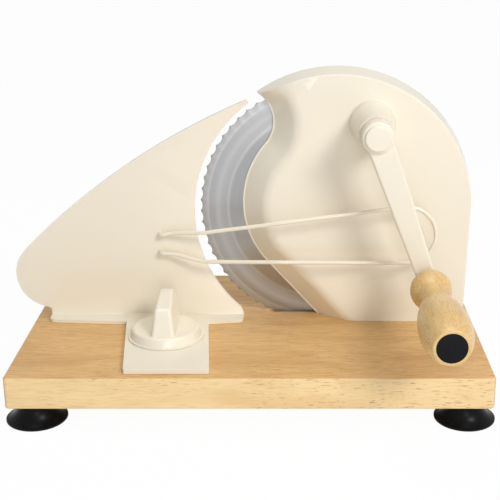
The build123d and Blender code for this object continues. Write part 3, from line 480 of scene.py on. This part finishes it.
# %% Gear plastic
def gear_finish():
    """Pale acetal: waxy, with faint flow marks and grease that holds some dust."""
    finish = Finish("gear_plastic")
    place = finish.places()
    flow = finish.noise(place, 40, 3, 0.5, 1.5)
    grease = finish.band(finish.noise(place, 130, 4), 0.52, 0.7)
    tone = finish.mixed(flow, shade(228, 222, 204), shade(216, 208, 188))
    tone = finish.mixed(grease * 0.35, tone, shade(150, 138, 112))
    finish.surface(Base_Color=tone, Roughness=0.5 - grease * 0.25)
    finish.bumped(flow, 0.03 * MM)
    return finish.material


acetal = gear_finish()
print("made", acetal.name)

# %% [markdown]
# ## Smooth copies of the CAD pieces
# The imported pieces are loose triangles. Shaded smooth they would show every facet's edge, and
# shaded flat the round cover would glint in bands. So each is copied, its triangles are merged,
# and an edge stays sharp where two faces meet at a steep angle. An edge that parts a large flat
# face from a rounded edge is sharp as well, because the round would otherwise draw soft patches
# over the flat. The copy stands for the CAD piece, rides on its body and lies in its place.

# %% Smooth copies
slot_finish = {
    "board": board_beech,
    "handle_beech": handle_beech,
    "rubber": rubber,
    "paint": enamel,
    "paint_plastic": cream_plastic,
    "steel": zinc_steel,
    "blade_steel": blade_steel,
    "brass": bush_brass,
    "gear_plastic": acetal,
    "black_plastic": black_plastic,
}


def seat(piece, *node_names):
    """Puts a finished piece on its body, in place of the CAD nodes that it stands for."""
    slot = node_slot[node_names[0]]
    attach(piece, node_body[node_names[0]])
    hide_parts(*node_names)
    piece.data.materials.clear()
    piece.data.materials.append(slot_finish[slot])


merge_reach = 0.001 * MM
least_flat, flat_to_round = 15 * MM * MM, 8


def bounds_a_flat(edge):
    """Tells whether an edge parts a large flat face from the narrow ones of a rounded edge."""
    if len(edge.link_faces) != 2 or edge.calc_face_angle(0) < math.radians(1):
        return False
    small, large = sorted(face.calc_area() for face in edge.link_faces)
    return large > least_flat and large > flat_to_round * small


def smooth_copy(node_name, sharp_angle=28, rework=None):
    """A merged copy of a CAD node that keeps only its real edges sharp."""
    shape = bmesh.new()
    shape.from_mesh(nodes[node_name].data)
    bmesh.ops.remove_doubles(shape, verts=shape.verts, dist=merge_reach)
    if rework:
        rework(shape)
    for face in shape.faces:
        face.smooth = True
    for edge in shape.edges:
        is_soft = edge.calc_face_angle(0) < math.radians(sharp_angle)
        edge.smooth = is_soft and not bounds_a_flat(edge)
    mesh = bpy.data.meshes.new(node_name + "_finished")
    shape.to_mesh(mesh)
    shape.free()
    piece = bpy.data.objects.new(node_name + "_finished", mesh)
    bpy.context.scene.collection.objects.link(piece)
    seat(piece, node_name)


# %% [markdown]
# ## Recipes for shapes
# Two pieces follow a rule: the blade is one wavy tooth repeated round a pressed disc, and the
# guard is one round wire along a bent path. They could be modelled by hand, point by point, but
# Geometry Nodes state the rule itself, with its sizes as named inputs, so a size can be changed
# and the shape follows. The result is then turned into a plain mesh.


# %% A recipe
class Recipe(NodeWork):
    """A tree of Geometry Nodes with named sizes. It makes one plain mesh."""

    def __init__(self, name, sizes):
        self.tree = bpy.data.node_groups.new(name, "GeometryNodeTree")
        self.tree.is_modifier = True
        face = self.tree.interface
        face.new_socket("Geometry", in_out="INPUT", socket_type="NodeSocketGeometry")
        face.new_socket("Geometry", in_out="OUTPUT", socket_type="NodeSocketGeometry")
        self.sockets = {}
        for size_name, value in sizes.items():
            kind = "NodeSocketInt" if isinstance(value, int) else "NodeSocketFloat"
            self.sockets[size_name] = face.new_socket(size_name, socket_type=kind)
            self.sockets[size_name].default_value = value
        start = self.tree.nodes.new("NodeGroupInput")
        self.given = {s.name: Value(self, s) for s in start.outputs if s.name}
        self.sizes = sizes

    def serve(self, geometry, material, sharp_angle):
        """Ends the recipe: edges stay sharp where they are, and it gets its material."""
        angle = self.node("GeometryNodeInputMeshEdgeAngle")["Unsigned Angle"]
        settings = {"data_type": "FLOAT", "operation": "LESS_THAN"}
        inputs = {"A": angle, "B": math.radians(sharp_angle)}
        is_soft = self.node("FunctionNodeCompare", settings, inputs)["Result"]
        inputs = {"Geometry": geometry, "Shade Smooth": is_soft}
        geometry = self.node("GeometryNodeSetShadeSmooth", {"domain": "EDGE"}, inputs)["Geometry"]
        inputs = {"Geometry": geometry}
        geometry = self.node("GeometryNodeRealizeInstances", {}, inputs)["Geometry"]
        inputs = {"Geometry": geometry, "Material": material}
        geometry = self.node("GeometryNodeSetMaterial", {}, inputs)["Geometry"]
        end = self.tree.nodes.new("NodeGroupOutput")
        self.tree.links.new(geometry.socket, end.inputs[0])

    def store(self, geometry, name, value, kind="FLOAT"):
        """Notes a value on each point of a shape."""
        settings = {"data_type": kind, "domain": "POINT"}
        inputs = {"Geometry": geometry, "Name": name, "Value": value}
        return self.node("GeometryNodeStoreNamedAttribute", settings, inputs)["Geometry"]

    def stored(self, name, kind="FLOAT"):
        """Reads what was noted on the points."""
        settings = {"data_type": kind}
        return self.node("GeometryNodeInputNamedAttribute", settings, {"Name": name})["Attribute"]

    def make(self, piece_name, start_mesh):
        """Runs the recipe on a mesh and gives a plain object."""
        cook = bpy.data.objects.new(piece_name + "_recipe", start_mesh)
        bpy.context.scene.collection.objects.link(cook)
        modifier = cook.modifiers.new(self.tree.name, "NODES")
        modifier.node_group = self.tree
        for size_name, value in self.sizes.items():
            modifier[self.sockets[size_name].identifier] = value
        ready = cook.evaluated_get(bpy.context.evaluated_depsgraph_get())
        mesh = bpy.data.meshes.new_from_object(ready)
        mesh.name = piece_name
        cook.modifiers.clear()
        bpy.data.objects.remove(cook)
        piece = bpy.data.objects.new(piece_name, mesh)
        bpy.context.scene.collection.objects.link(piece)
        print(piece_name, "has", len(mesh.polygons), "faces")
        return piece


# %% [markdown]
# ## The blade
# The real blade is a pressed steel disc. A flat ring runs round it inside a ground bevel, and
# inside the ring the disc is dished towards the cover, which stiffens it. Its edge is a row of
# shallow round scoops. It could be a lathed profile with each scoop cut out, which leaves thin
# slivers. Here a grid is bent into the lathed shape and each point near the rim moves inwards
# by the scoop's own formula, so the edge is exact and the faces stay even.

# %% Blade sizes, in millimetres
blade_rim, bevel_width, edge_thickness = 93.3, 6.3, 0.25
blade_teeth, tooth_depth, steps_per_tooth = 67, 1.5, 12
tooth_bearing = math.radians(149.9)
sheet, dish = 1.2, 3.6
ring, flat, bore = 73, 54, 7.03
# the rear side, from the bore outwards: radius, and how far in front of the cutting plane
dished_side = [
    (bore, dish),
    (26, dish),
    (flat - 2.5, dish),
    (flat + 0.3, 3.35),
    (flat + 3.2, 2.8),
    (ring - 3, 0.55),
    (ring - 0.4, 0.08),
    (ring + 2.2, 0),
]
# out along the front and back along the rear: radius, depth, and share of the scoop
blade_profile = [(radius, -(depth + sheet), 0) for radius, depth in dished_side]
blade_profile += [
    (82, -sheet, 0),
    (blade_rim - bevel_width, -sheet, 0),
    (blade_rim - 3.1, -0.72, 0.5),
    (blade_rim, -edge_thickness, 1),
    (blade_rim, 0, 1),
    (blade_rim - 3.1, 0, 0.5),
    (82, 0, 0),
]
blade_profile += [(radius, -depth, 0) for radius, depth in reversed(dished_side)]


# %% The blade's recipe
def blade_start_mesh():
    """The profile as one line of points, each with its share of the scoop."""
    mesh = bpy.data.meshes.new("blade_profile")
    points = [(radius * MM, depth * MM, 0) for radius, depth, _ in blade_profile]
    last = len(points) - 1
    edges = [(step, step + 1) for step in range(last)] + [(last, 0)]
    mesh.from_pydata(points, edges, [])
    share = mesh.attributes.new("scoop_share", "FLOAT", "POINT")
    share.data.foreach_set("value", [scoop for _, _, scoop in blade_profile])
    return mesh


def blade_recipe():
    """Carries the profile round the axle and moves its edge inwards by the scoops."""
    sizes = {
        "Radius": blade_rim * MM,
        "Teeth": blade_teeth,
        "Tooth depth": tooth_depth * MM,
        "Tooth bearing": tooth_bearing,
        "Axle X": blade_axis.x,
        "Axle Y": blade_axis.y,
        "Axle Z": blade_axis.z,
    }
    recipe = Recipe("toothed_disc", sizes)
    given = recipe.given
    # the profile goes round: a circle of many points carries it
    steps = given["Teeth"] * steps_per_tooth
    inputs = {"Resolution": steps, "Radius": 1.0}
    ring_path = recipe.node("GeometryNodeCurvePrimitiveCircle", {}, inputs)["Curve"]
    profile = recipe.node("GeometryNodeMeshToCurve", {}, {"Mesh": given["Geometry"]})["Curve"]
    place = recipe.node("GeometryNodeInputPosition")["Position"]
    profile = recipe.store(profile, "lathe", place, "FLOAT_VECTOR")
    step = recipe.node("GeometryNodeInputIndex")["Index"]
    ring_path = recipe.store(ring_path, "bearing", step / steps * (2 * math.pi))
    inputs = {"Curve": ring_path, "Profile Curve": profile}
    disc = recipe.node("GeometryNodeCurveToMesh", {}, inputs)["Mesh"]
    lathe = recipe.stored("lathe", "FLOAT_VECTOR")
    lathe = recipe.node("ShaderNodeSeparateXYZ", {}, {"Vector": lathe})
    turned = recipe.stored("bearing")
    bearing = turned + given["Tooth bearing"]
    # a scoop is an arc between two teeth: its depth at an angle from the middle of the scoop
    pitch = (1 / given["Teeth"]) * (2 * math.pi)
    across = given["Radius"] * pitch / 2
    scoop_radius = (across**2 + given["Tooth depth"] ** 2) / (given["Tooth depth"] * 2)
    scoop_circle = given["Radius"] - given["Tooth depth"] + scoop_radius
    off_middle = ((turned / pitch).math("FRACT") - 0.5) * pitch
    chord = (scoop_radius**2 - (off_middle.math("SINE") * scoop_circle) ** 2) ** 0.5
    scooped = off_middle.math("COSINE") * scoop_circle - chord
    edge_drop = (given["Radius"] - scooped).math("MAXIMUM", 0)
    radius = lathe["X"] - edge_drop * recipe.stored("scoop_share")
    parts = {
        "X": given["Axle X"] + bearing.math("COSINE") * radius,
        "Y": given["Axle Y"] + lathe["Y"],
        "Z": given["Axle Z"] + bearing.math("SINE") * radius,
    }
    target = recipe.node("ShaderNodeCombineXYZ", {}, parts)["Vector"]
    inputs = {"Geometry": disc, "Position": target}
    disc = recipe.node("GeometryNodeSetPosition", {}, inputs)["Geometry"]
    recipe.serve(disc, blade_steel, sharp_angle=28)
    return recipe


# %% Make the blade
def face_outwards(piece):
    """Turns a closed piece's faces outwards."""
    shape = bmesh.new()
    shape.from_mesh(piece.data)
    bmesh.ops.remove_doubles(shape, verts=shape.verts, dist=merge_reach)
    bmesh.ops.recalc_face_normals(shape, faces=shape.faces)
    shape.to_mesh(piece.data)
    shape.free()


blade = blade_recipe().make("toothed_blade", blade_start_mesh())
face_outwards(blade)
seat(blade, "blade")

# %% [markdown]
# ## The wire guard
# The guard is one steel wire, painted with the plate. It comes out of two holes, turns to the
# right and runs as a long loop in front of the cover. A beveled curve could make it, but then
# every bend would be drawn by hand. In this recipe only the corners of the path are given, each
# with the radius of its bend, as a wire bender is set up.

# %% The wire's path, in millimetres from the board's front edge, its middle and its top
board_low, board_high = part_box("base_board")
board_middle = (board_low[0] + board_high[0]) / 2
wire_corners = [
    (-68.9, 111.6, 67, 0),
    (-68.9, 101, 67, 4),
    (-59.5, 101, 69.2, 4),
    (-36, 94.4, 71.5, 6),
    (20, 85, 81.7, 6),
    (132.5, 85, 96.9, 21),
    (132.5, 85, 51.5, 21),
    (20, 85, 52, 6),
    (-36, 94.4, 49.3, 6),
    (-59.5, 101, 53.2, 4),
    (-68.9, 101, 53, 4),
    (-68.9, 111.6, 53, 0),
]


# %% The wire's recipe
def wire_start_mesh():
    """The corners of the path as one line of points, each with the radius of its bend."""
    mesh = bpy.data.meshes.new("wire_path")
    origin = Vector((board_middle, board_low[1], board_high[2]))
    points = [origin + Vector((x, depth, z)) * MM for x, depth, z, _ in wire_corners]
    mesh.from_pydata(points, [(step, step + 1) for step in range(len(points) - 1)], [])
    bend = mesh.attributes.new("bend_radius", "FLOAT", "POINT")
    bend.data.foreach_set("value", [radius * MM for *_, radius in wire_corners])
    return mesh


def wire_recipe():
    """Rounds the corners and carries a round section along the path."""
    recipe = Recipe("bent_wire", {"Wire radius": 1.5 * MM, "Bend steps": 10, "Wire sides": 20})
    given = recipe.given
    path = recipe.node("GeometryNodeMeshToCurve", {}, {"Mesh": given["Geometry"]})["Curve"]
    bend = recipe.stored("bend_radius")
    inputs = {"Curve": path, "Count": given["Bend steps"], "Radius": bend}
    path = recipe.node("GeometryNodeFilletCurve", {"mode": "POLY"}, inputs)["Curve"]
    inputs = {"Resolution": given["Wire sides"], "Radius": given["Wire radius"]}
    section = recipe.node("GeometryNodeCurvePrimitiveCircle", {}, inputs)["Curve"]
    inputs = {"Curve": path, "Profile Curve": section, "Fill Caps": True}
    wire = recipe.node("GeometryNodeCurveToMesh", {}, inputs)["Mesh"]
    recipe.serve(wire, enamel, sharp_angle=40)
    return recipe


# %% Make the wire guard
wire_guard = wire_recipe().make("bent_wire_guard", wire_start_mesh())
face_outwards(wire_guard)
seat(wire_guard, "wire_guard")

# %% [markdown]
# ## The cover's rolled edge
# Along the S the pressed cover ends in a thin flat lip, rises in a straight slope and turns over
# a shoulder into its front face. The CAD cover rolls over in one even arc between the same two
# lines. The whole cover could be modelled again, but only this band differs. So the copy's
# band is taken out, and a fine grid with the real section takes its place. The grid keeps the
# old outline where the band meets the rim. Then the two are sewn together corner by corner, so
# that the cover stays closed.

# %% The S and the two sections, in millimetres about the cover's centre
cover_centre = blade_axis + Vector((7.8, 0, 4.6)) * MM
lip_depth, band_width, band_rise = 5.0, 30.0, 17.0
bulge, notch = 69.0, 24.5
notch_bearing, leg_bearing = math.radians(139.25), math.radians(222)
notch_reach = bulge + notch
deck_drop = 88.5
cover_rim, cover_draft, cover_thickness, rim_fillet = 100.5, 2.8, 22.0, 1.0
cad_radius = (band_width**2 + band_rise**2) / (2 * band_rise)
shoulder_radius, shoulder_end, shoulder_steps = 11.84, 22.0, 8
slope, slope_start = math.radians(45), 0.1
notch_steps, bulge_steps, leg_steps = 36, 48, 20
blend_start, blend_length = 0.5, 13
notch_x = notch_reach * math.cos(notch_bearing)
notch_z = notch_reach * math.sin(notch_bearing)
lip_section = [(0, 0), (0, 0.4), (0, 0.75), (0.12, 0.93), (0.35, 1.0), (0.7, 1.02), (1.0, 1.06)]
lip_section += [(1.3, 1.22), (1.7, 1.6), (2.4, 2.3)]


def cad_rise(inward):
    """How high the CAD cover stands above its lip, at a distance inwards from the S."""
    return band_rise - cad_radius + math.sqrt(cad_radius**2 - (band_width - inward) ** 2)


def real_section():
    """The lip, the slope, the shoulder and the flat: (distance inwards, rise)."""
    section = list(lip_section)
    section += [(inward, inward - slope_start) for inward in (4, 6, 8, 10, 12)]
    for step in range(shoulder_steps + 1):
        lean = slope * (1 - step / shoulder_steps)
        inward = shoulder_end - shoulder_radius * math.sin(lean)
        section.append((inward, band_rise - shoulder_radius * (1 - math.cos(lean))))
    return section + [(24.5, band_rise), (27.5, band_rise), (band_width, band_rise)]


def rim_radius(rise):
    """The radius of the cover's drafted rim, with its rounded edge, at a height above the lip."""
    radius = cover_rim - cover_draft * (rise + lip_depth) / cover_thickness
    into_fillet = min(max(rise - (band_rise - rim_fillet), 0), rim_fillet)
    return radius - rim_fillet + math.sqrt(rim_fillet**2 - into_fillet**2)


# %% One line of the grid runs from the rim down to the board
def line_along_s(inward, rise):
    """One line of the grid, at one distance inwards from the S. It starts on the rim."""
    places = []
    radius = notch + inward
    reach = rim_radius(cad_rise(inward)) ** 2 - notch_reach**2 - radius**2
    start = notch_bearing - math.acos(reach / (2 * radius * notch_reach))
    end = notch_bearing - math.pi
    for step in range(notch_steps):
        angle = start + (end - start) * step / notch_steps
        x, z = notch_x + radius * math.cos(angle), notch_z + radius * math.sin(angle)
        places.append((x, z, (start - angle) * radius))
    radius = bulge - inward
    for step in range(bulge_steps):
        angle = notch_bearing + (leg_bearing - notch_bearing) * step / bulge_steps
        places.append((radius * math.cos(angle), radius * math.sin(angle), math.inf))
    leg_length = (deck_drop + radius * math.sin(leg_bearing)) / -math.cos(leg_bearing)
    for step in range(leg_steps + 1):
        run = leg_length * step / leg_steps
        x = radius * math.cos(leg_bearing) - run * math.sin(leg_bearing)
        z = radius * math.sin(leg_bearing) + run * math.cos(leg_bearing)
        places.append((x, z, math.inf))
    line = []
    for x, z, from_rim in places:
        # the real section fades in from the CAD one behind the rim
        blend = min(max((from_rim - blend_start) / blend_length, 0), 1)
        blend = blend * blend * (3 - 2 * blend)
        height = cad_rise(inward) + (rise - cad_rise(inward)) * blend
        line.append(cover_centre + Vector((x, -(lip_depth + height), z)) * MM)
    return line


# %% Find the old band
arc_tolerance, most_forward, least_outward = 0.25, -0.35, 0.1


def is_old_band(face):
    """Tells whether a face of the copy belongs to the CAD cover's rolled band."""
    place = (face.calc_center_median() - cover_centre) / MM
    bearing = math.atan2(place.z, place.x) % (2 * math.pi)
    radius = math.hypot(place.x, place.z)
    if bearing < notch_bearing:
        inward = math.hypot(place.x - notch_x, place.z - notch_z) - notch
    elif bearing < leg_bearing:
        inward = bulge - radius
    else:
        inward = bulge - place.x * math.cos(leg_bearing) - place.z * math.sin(leg_bearing)
    if not 0 < inward < band_width:
        return False
    rise = -place.y - lip_depth
    # near the rim, what leans outwards is the rim's own rounded edge, which stays
    outward = face.normal.x * place.x + face.normal.z * place.z
    leans_out = outward > least_outward * radius
    if leans_out and radius > rim_radius(rise) - 2 * rim_fillet:
        return False
    return abs(rise - cad_rise(inward)) < arc_tolerance and face.normal.y < most_forward


# %% Close the seam
seam_reach, seam_merge, gap_sides = 0.03 * MM, 0.002 * MM, 12
shortest_squared = 1e-18


def nearest_edge(place, edges):
    """Where along it, from 0 to 1, the nearest edge passes a place, and that edge."""
    best_off, best = math.inf, None
    for edge in edges:
        start, run = edge.verts[0].co, edge.verts[1].co - edge.verts[0].co
        along = (place - start).dot(run) / max(run.length_squared, shortest_squared)
        along = min(max(along, 0), 1)
        off = (start + run * along - place).length
        if off < best_off:
            best_off, best = off, (along, edge)
    return best


def sew(points, edges):
    """Gives the edges a corner at each of the points, so that the two sides can be merged."""
    for point in sorted(points, key=lambda corner: tuple(corner.co)):
        along, edge = nearest_edge(point.co, edges)
        nearer = edge.verts[0] if along < 0.5 else edge.verts[1]
        if (nearer.co - point.co).length > seam_reach and 0 < along < 1:
            new_edge, corner = bmesh.utils.edge_split(edge, edge.verts[0], along)
            corner.co = point.co
            edges.append(new_edge)
        else:
            point.co = nearer.co


# %% Put the real band in
def roll_cover_edge(shape):
    """Takes the old band out of the cover, lays the grid in and sews it to the shell."""
    shape.normal_update()
    old_band = [face for face in shape.faces if is_old_band(face)]
    bmesh.ops.delete(shape, geom=old_band, context="FACES")
    lines = [line_along_s(inward, rise) for inward, rise in real_section()]
    grid = [[shape.verts.new(place) for place in line] for line in lines]
    for lower, upper in zip(grid, grid[1:]):
        for step in range(len(lower) - 1):
            shape.faces.new((lower[step], lower[step + 1], upper[step + 1], upper[step]))
    of_grid = {corner for line in grid for corner in line}
    rims = [edge for edge in shape.edges if len(edge.link_faces) == 1]
    grid_rim = [edge for edge in rims if edge.verts[0] in of_grid and edge.verts[1] in of_grid]
    found = set(grid_rim)
    hole_rim = [edge for edge in rims if edge not in found]
    hole_corners = {corner for edge in hole_rim for corner in edge.verts}
    grid_corners = {corner for edge in grid_rim for corner in edge.verts}
    sew(grid_corners, hole_rim)
    sew(hole_corners, grid_rim)
    bmesh.ops.remove_doubles(shape, verts=shape.verts, dist=seam_merge)
    gaps = [edge for edge in shape.edges if len(edge.link_faces) == 1]
    bmesh.ops.holes_fill(shape, edges=gaps, sides=gap_sides)
    open_edges = sum(len(edge.link_faces) != 2 for edge in shape.edges)
    print("open edges left in the cover:", open_edges)
    print("the band's", len(old_band), "old faces gave way to", (len(grid) - 1) * len(grid[0]))


smooth_copy("cover", sharp_angle=40, rework=roll_cover_edge)

# %% Smooth copies of everything else
remade_here = {"blade", "wire_guard", "cover"}
for node_name in nodes:
    if node_name not in remade_here:
        smooth_copy(node_name)
print("smooth copies:", len(nodes) - len(remade_here))

# %% [markdown]
# ## Floor and light
# The photograph's light is soft and comes from all round, with a stronger light from the upper
# right, which throws the shadows of the boss, the wing and the handle to the left. Lamps alone
# would leave those shadows black, so a dim and even world fills them. The floor and the world
# are white to the camera and to mirrors, and the floor still takes a faint shadow.


# %% Floor and world
floor_glow, room_level = 0.97, 0.31


def add_floor():
    """A white floor that takes the object's shadow."""
    mesh = bpy.data.meshes.new("floor")
    half = 4.0
    corners = [(-half, -half, 0), (half, -half, 0), (half, half, 0), (-half, half, 0)]
    mesh.from_pydata(corners, [], [(0, 1, 2, 3)])
    floor = bpy.data.objects.new("floor", mesh)
    bpy.context.scene.collection.objects.link(floor)
    ground = Finish("white_floor")
    ground.surface(Base_Color=shade(244, 244, 244), Roughness=0.9, Specular_IOR_Level=0.1)
    glow = ground.tree.nodes.new("ShaderNodeEmission")
    mix = ground.tree.nodes.new("ShaderNodeMixShader")
    output = ground.tree.nodes["Material Output"]
    ground.join(mix, 0, ground.seen() * floor_glow)
    ground.tree.links.new(ground.shader.outputs[0], mix.inputs[1])
    ground.tree.links.new(glow.outputs[0], mix.inputs[2])
    ground.tree.links.new(mix.outputs[0], output.inputs["Surface"])
    mesh.materials.append(ground.material)


def add_world():
    """White where it is seen, and a dim light from all round."""
    world = bpy.data.worlds.new("soft_room")
    bpy.context.scene.world = world
    world.use_nodes = True
    tree = world.node_tree
    tree.nodes.clear()
    room = NodeWork()
    room.tree = tree
    strength = room.seen() * (1 - room_level) + room_level
    background = room.node("ShaderNodeBackground", {}, {"Strength": strength})["Background"]
    output = tree.nodes.new("ShaderNodeOutputWorld")
    tree.links.new(background.socket, output.inputs["Surface"])


def add_lamp(name, place, aim, width, height, power):
    """A softbox at a place, turned to its aim: sizes in metres, power in watts."""
    data = bpy.data.lights.new(name, "AREA")
    data.shape = "RECTANGLE"
    data.size, data.size_y = width, height
    data.energy = power
    lamp = bpy.data.objects.new(name, data)
    lamp.location = place
    lamp.rotation_euler = (Vector(aim) - Vector(place)).to_track_quat("-Z", "Y").to_euler()
    bpy.context.scene.collection.objects.link(lamp)


add_floor()
add_world()
machine_middle = (0.03, 0, 0.1)
add_lamp("key_softbox", (0.9, -1.25, 1.15), machine_middle, 0.55, 0.55, 17)
add_lamp("top_softbox", (0.0, 0.1, 1.4), (0, 0, 0.1), 1.0, 0.8, 6)
add_lamp("front_fill", (0.2, -1.5, 0.3), machine_middle, 0.5, 0.5, 3.6)
print("added the floor, the room and three lamps")
